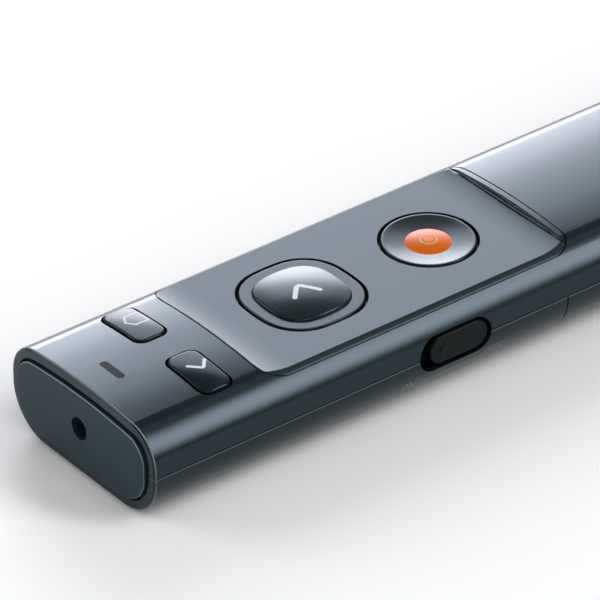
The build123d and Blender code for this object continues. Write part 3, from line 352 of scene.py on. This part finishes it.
def stroke_pairs(points, width, closed):
    """Points left and right of the line, mitred at its corners and round at its ends."""
    count = len(points)
    half = width / 2
    pairs = []
    for i, point in enumerate(points):
        first = i == 0 and not closed
        last = i == count - 1 and not closed
        directions = []
        if not first:
            directions.append((point - points[i - 1]).normalized())
        if not last:
            directions.append((points[(i + 1) % count] - point).normalized())
        normals = [Vector((-d.y, d.x)) for d in directions]
        across = sum(normals, Vector((0, 0))).normalized()
        reach = half / max(across.dot(normals[0]), MITRE_LIMIT)
        rows = [(point, 1.0)]
        if first or last:
            outward = directions[0] * (-1 if first else 1)
            rows = round_end(point, outward, half) + rows
        if last:
            rows.reverse()
        for middle, share in rows:
            offset = across * (reach * share)
            pairs.append((middle + offset, middle - offset))
    return pairs


def stroke_rows(points, width, closed):
    """The stroke's pairs with more between them, so that no neighbours are over MARK_STEP apart."""
    points = [Vector(point) for point in points]
    if not closed and len(points) > 2 and width > BLUNT_STROKE:
        points = rounded(points, width * JOIN_RADIUS)
    pairs = stroke_pairs(points, width, closed)
    if closed:
        pairs.append(pairs[0])
    rows = []
    for (left, right), (next_left, next_right) in zip(pairs, pairs[1:]):
        length = ((next_left - left).length + (next_right - right).length) / 2
        steps = max(1, math.ceil(length / MARK_STEP))
        for k in range(steps):
            rows.append((left.lerp(next_left, k / steps), right.lerp(next_right, k / steps)))
    if not closed:
        rows.append(pairs[-1])
    return rows


# ---------------------------------------------------------------- ink laid on a surface

MARK_RISE = 0.014        # ink above the surface
MARK_BED = 0.03          # ink into the surface, so that no gap shows
RAY_START = 30           # farther out than any surface of the body


def from_above(flat):
    """The ray that lays a point (x, station) on the top."""
    return Vector((flat.x, RIM_Y + flat.y, RAY_START)), Vector((0, 0, -1))


def from_side(flat):
    """The ray that lays a point (station, z) on the switch's side."""
    return Vector((RAY_START, RIM_Y + flat.x, flat.y)), Vector((-1, 0, 0))


def ink_grid(mesh, surface, rows, place, columns):
    """Lays each row on the surface, as a line of vertex pairs: one above it and one below."""
    grid = []
    for left, right in rows:
        line = []
        for k in range(columns + 1):
            origin, direction = place(left.lerp(right, k / columns))
            hit = surface.ray_cast(origin * MM, direction)[0]
            top = hit - direction * (MARK_RISE * MM)
            low = hit + direction * (MARK_BED * MM)
            line.append((mesh.verts.new(top), mesh.verts.new(low)))
        grid.append(line)
    return grid


def ink_faces(mesh, grid, columns, closed):
    """Closes the ink round the grid: top and underside, both long sides and, unless the stroke is
    closed, both ends."""
    if closed:
        grid = grid + [grid[0]]
    for a, b in zip(grid, grid[1:]):
        for k in range(columns):
            mesh.faces.new((a[k][0], a[k + 1][0], b[k + 1][0], b[k][0]))
            mesh.faces.new((a[k][1], b[k][1], b[k + 1][1], a[k + 1][1]))
        mesh.faces.new((a[0][0], b[0][0], b[0][1], a[0][1]))
        mesh.faces.new((a[-1][0], a[-1][1], b[-1][1], b[-1][0]))
    if not closed:
        for line, turn in ((grid[0], 1), (grid[-1], -1)):
            for k in range(columns):
                ring = (line[k][0], line[k][1], line[k + 1][1], line[k + 1][0])
                mesh.faces.new(ring[::turn])


def drape(name, strokes, place, node, material, body, columns=3):
    """Makes one inked mark from strokes, laid on a node's surface. place turns a flat point
    into a ray (origin, direction) towards the surface, in millimetres."""
    source = frame["nodes"][node].data
    surface = BVHTree.FromPolygons([v.co for v in source.vertices], [p.vertices for p in source.polygons])
    mesh = bmesh.new()
    for points, width, closed in strokes:
        grid = ink_grid(mesh, surface, stroke_rows(points, width, closed), place, columns)
        ink_faces(mesh, grid, columns, closed)
    bmesh.ops.recalc_face_normals(mesh, faces=mesh.faces)
    data = bpy.data.meshes.new(name)
    mesh.to_mesh(data)
    mesh.free()
    data.materials.append(material)
    piece = bpy.data.objects.new(name, data)
    bpy.context.scene.collection.objects.link(piece)
    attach(piece, body)


# ---------------------------------------------------------------- marks on the keys

NEXT_CHEVRON = [(1.12, 31.45), (-0.86, 33.3), (1.55, 35.0)]
NEXT_STROKE = 0.62
PREVIOUS_CHEVRON = [(5.2, 11.9), (6.55, 13.3), (5.2, 14.45)]
PREVIOUS_STROKE = 0.42
HOUSE = [(-5.85, 12.5), (-5.85, 14.4), (-8.2, 14.4), (-8.2, 12.5), (-7.05, 11.8)]
HOUSE_STROKE = 0.26
DOT_STATION = 53.38
RING_RADIUS = 1.02
RING_STROKE = 0.32
CENTRE_RADIUS = 0.33
CENTRE_STROKE = 0.6      # almost meets in the middle

drape("next_mark", [(NEXT_CHEVRON, NEXT_STROKE, False)],
      from_above, "next_button", MARK_WHITE, "next_key")
drape("previous_mark", [(PREVIOUS_CHEVRON, PREVIOUS_STROKE, False)],
      from_above, "previous_button", MARK_WHITE, "previous_key")
drape("home_mark", [(HOUSE, HOUSE_STROKE, True)],
      from_above, "home_button", MARK_WHITE, "home_key")
drape("laser_ring_mark", [(circle(0, DOT_STATION, RING_RADIUS), RING_STROKE, True)],
      from_above, "laser_button_dot", DOT_RING, "laser_key")
drape("laser_centre_mark", [(circle(0, DOT_STATION, CENTRE_RADIUS), CENTRE_STROKE, True)],
      from_above, "laser_button_dot", DOT_CENTRE, "laser_key")

# ---------------------------------------------------------------- ON and OFF beside the switch

LETTER_STROKE = 0.17
LETTER_HEIGHT = 1.15
LETTER_WIDTH = 0.656 * LETTER_HEIGHT
LETTER_ADVANCE = 0.96 * LETTER_HEIGHT
LETTER_CUT = 0.3 * LETTER_HEIGHT     # the O's cut corners
ARM_LENGTH = 0.9 * LETTER_WIDTH      # the F's upper arm
BAR_LENGTH = 0.75 * LETTER_WIDTH     # its middle bar
BAR_HEIGHT = 0.52 * LETTER_HEIGHT
WORD_HEIGHT = 3.05                   # of both words' feet
ON_STATION = 39.3
OFF_STATION = 52.85


def letter_lines(kind):
    """The lines of one capital with its left foot at (0, 0), each with whether it is closed."""
    wide, high, cut = LETTER_WIDTH, LETTER_HEIGHT, LETTER_CUT
    if kind == "O":
        outline = [(cut, 0), (wide - cut, 0), (wide, cut), (wide, high - cut),
                   (wide - cut, high), (cut, high), (0, high - cut), (0, cut)]
        return [(outline, True)]
    if kind == "N":
        return [([(0, 0), (0, high), (wide, 0), (wide, high)], False)]
    stem_and_arm = [(0, 0), (0, high), (ARM_LENGTH, high)]
    bar = [(0, BAR_HEIGHT), (BAR_LENGTH, BAR_HEIGHT)]
    return [(stem_and_arm, False), (bar, False)]


def word(text, station):
    """The strokes of a word, centred on a station together with the gap after its last letter."""
    start = station - LETTER_ADVANCE * len(text) / 2
    strokes = []
    for i, kind in enumerate(text):
        foot = start + i * LETTER_ADVANCE
        for points, closed in letter_lines(kind):
            line = [(foot + x, WORD_HEIGHT + y) for x, y in points]
            strokes.append((line, LETTER_STROKE, closed))
    return strokes


drape("on_mark", word("ON", ON_STATION), from_side, "bottom_cover", MARK_GREY, "casing",
      columns=1)
drape("off_mark", word("OFF", OFF_STATION), from_side, "bottom_cover", MARK_GREY, "casing",
      columns=1)

# ---------------------------------------------------------------- floor

FLOOR_RADIUS = 8.0       # in metres
FLOOR_SIDES = 96
FLOOR_DROP = 0.02        # below the body's underside
FLOOR_DARK = (0.955, 0.955, 0.955, 1.0)
FLOOR_LIGHT = (0.975, 0.975, 0.975, 1.0)
FLOOR_MOTTLE = 40.0      # cells in a metre


def floor_material():
    """Matt and nearly white from above, and clear from below."""
    material, graph, shader, where = new_material("studio_floor")
    mottle = graph.noise(where, FLOOR_MOTTLE, detail=4.0)
    graph.put(shader.inputs["Base Color"], graph.mix(mottle, FLOOR_DARK, FLOOR_LIGHT))
    shader.inputs["Roughness"].default_value = 0.9
    shader.inputs["Specular IOR Level"].default_value = 0.1
    clear = graph.add("ShaderNodeMixShader")
    graph.put(clear.inputs[0], graph.add("ShaderNodeNewGeometry").outputs["Backfacing"])
    graph.put(clear.inputs[1], shader.outputs["BSDF"])
    graph.put(clear.inputs[2], graph.add("ShaderNodeBsdfTransparent").outputs[0])
    graph.put(graph.tree.nodes["Material Output"].inputs["Surface"], clear.outputs[0])
    return material


floor_mesh = bmesh.new()
bmesh.ops.create_circle(floor_mesh, cap_ends=True, radius=FLOOR_RADIUS, segments=FLOOR_SIDES)
floor_data = bpy.data.meshes.new("floor")
floor_mesh.to_mesh(floor_data)
floor_mesh.free()
floor_data.materials.append(floor_material())
floor = bpy.data.objects.new("floor", floor_data)
floor.location.z = cad_low.z - FLOOR_DROP * MM
bpy.context.scene.collection.objects.link(floor)

# ---------------------------------------------------------------- light

# Soft boxes: (heading, elevation, roll, half width, half height, softness of the sides, softness of
# the top and bottom, radiance, tint, flagged). The heading is in degrees from +Y towards -X, and the
# sizes are tangents seen from the body. A flagged box is cut off past the heading of a black flag.
COOL = (0.84, 0.905, 1.0)
PLAIN = (1.0, 1.0, 1.0)
ROSE = (1.0, 0.94, 1.0)
SOFT_BOXES = [
    (67, 24.5, 0, 0.445, 0.31, 0.62, 0.10, 5.15, COOL, True),
    (60, 12.5, 0, 0.40, 0.234, 0.60, 0.09, 5.4, ROSE, True),
    (-49.5, 34.0, -27, 0.12, 0.33, 0.10, 0.60, 10.6, PLAIN, False),
    (-16, 58, 0, 0.30, 0.14, 0.20, 0.16, 0.6, PLAIN, False),
    (130, 24, 0, 0.24, 0.20, 0.14, 0.14, 4.5, PLAIN, False),
    (-100, 68, 0, 0.25, 0.25, 0.20, 0.20, 2.7, PLAIN, False),
]
FLAG_HEADING = 66
FLAG_EDGE = 0.09         # half the flag's soft edge
WALL_TOP = (20, 40)      # elevations between which the pale walls fade
WALL_LEVEL = 0.31
CEILING_LEVEL = 0.25
BEHIND = (0.0, 0.1)      # cosines between which a box fades in, so that none shows opposite itself
LEAST_DEPTH = 0.01       # keeps the division by the depth finite


def rotation(degrees, axis):
    return Matrix.Rotation(math.radians(degrees), 3, axis)


def soft_box(graph, ray, flag, heading, elevation, roll, half_width, half_height, soft_width, soft_height,
             radiance, tint, flagged):
    """The light of one soft box in the direction of the ray."""
    turn = rotation(heading, "Z") @ rotation(elevation, "X") @ rotation(roll, "Y")
    facing = graph.vector("DOT_PRODUCT", ray, turn.col[1])
    depth = graph.math("MAXIMUM", facing, LEAST_DEPTH)
    mask = graph.ramp(facing, *BEHIND)
    sides = ((turn.col[0], half_width, soft_width), (turn.col[2], half_height, soft_height))
    for axis, half, soft in sides:
        offset = graph.math("DIVIDE", graph.vector("DOT_PRODUCT", ray, axis), depth)
        inside = graph.ramp(graph.math("ABSOLUTE", offset), half - soft / 2, half + soft / 2, 1.0, 0.0)
        mask = graph.math("MULTIPLY", mask, inside)
    if flagged:
        mask = graph.math("MULTIPLY", mask, flag)
    return graph.vector("SCALE", tint, graph.math("MULTIPLY", mask, radiance))


def light_world(tree):
    """Pale walls and ceiling with the soft boxes in front of them."""
    graph = Graph(tree)
    ray = graph.add("ShaderNodeTexCoord").outputs["Generated"]
    wall_start, wall_end = (math.sin(math.radians(degrees)) for degrees in WALL_TOP)
    walls = graph.ramp(graph.split(ray)["Z"], wall_start, wall_end, WALL_LEVEL, CEILING_LEVEL)
    total = graph.vector("SCALE", PLAIN, walls)
    flag_side = rotation(FLAG_HEADING, "Z").col[0]
    flag = graph.ramp(graph.vector("DOT_PRODUCT", ray, flag_side), -FLAG_EDGE, FLAG_EDGE)
    for box in SOFT_BOXES:
        total = graph.vector("ADD", total, soft_box(graph, ray, flag, *box))
    background = graph.add("ShaderNodeBackground")
    graph.put(background.inputs["Color"], total)
    graph.put(graph.add("ShaderNodeOutputWorld").inputs["Surface"], background.outputs[0])


world = bpy.data.worlds.new("studio")
bpy.context.scene.world = world
world.use_nodes = True
light_world(world.node_tree)

# ---------------------------------------------------------------- camera

# The camera looks AZIMUTH from +Y towards -X, and down by ELEVATION. From the middle of the front
# rim's foot, its eye is DISTANCE back along the line of sight, and ASIDE to the right and ABOVE
# upwards in the picture.
AZIMUTH = math.radians(51.678)
ELEVATION = math.radians(33.288)
DISTANCE = 692.12
ASIDE = 25.996
ABOVE = 20.921
SENSOR = 36.0
LENS = 345.72
CLIP_NEAR = 0.05         # in metres
CLIP_FAR = 50.0

right = Vector((math.cos(AZIMUTH), math.sin(AZIMUTH), 0))
forward = Vector((-math.sin(AZIMUTH) * math.cos(ELEVATION), math.cos(AZIMUTH) * math.cos(ELEVATION),
                  -math.sin(ELEVATION)))
upwards = right.cross(forward)
eye = Vector((0, RIM_Y, 0)) + right * ASIDE + upwards * ABOVE - forward * DISTANCE

camera_data = bpy.data.cameras.new("camera")
camera_data.sensor_width = SENSOR
camera_data.lens = LENS
camera_data.clip_start = CLIP_NEAR
camera_data.clip_end = CLIP_FAR
camera = bpy.data.objects.new("camera", camera_data)
camera_turn = Matrix((right, upwards, -forward)).transposed().to_4x4()
camera.matrix_world = Matrix.Translation(eye * MM) @ camera_turn
bpy.context.scene.collection.objects.link(camera)
bpy.context.scene.camera = camera
bpy.context.scene.view_settings.view_transform = "Standard"
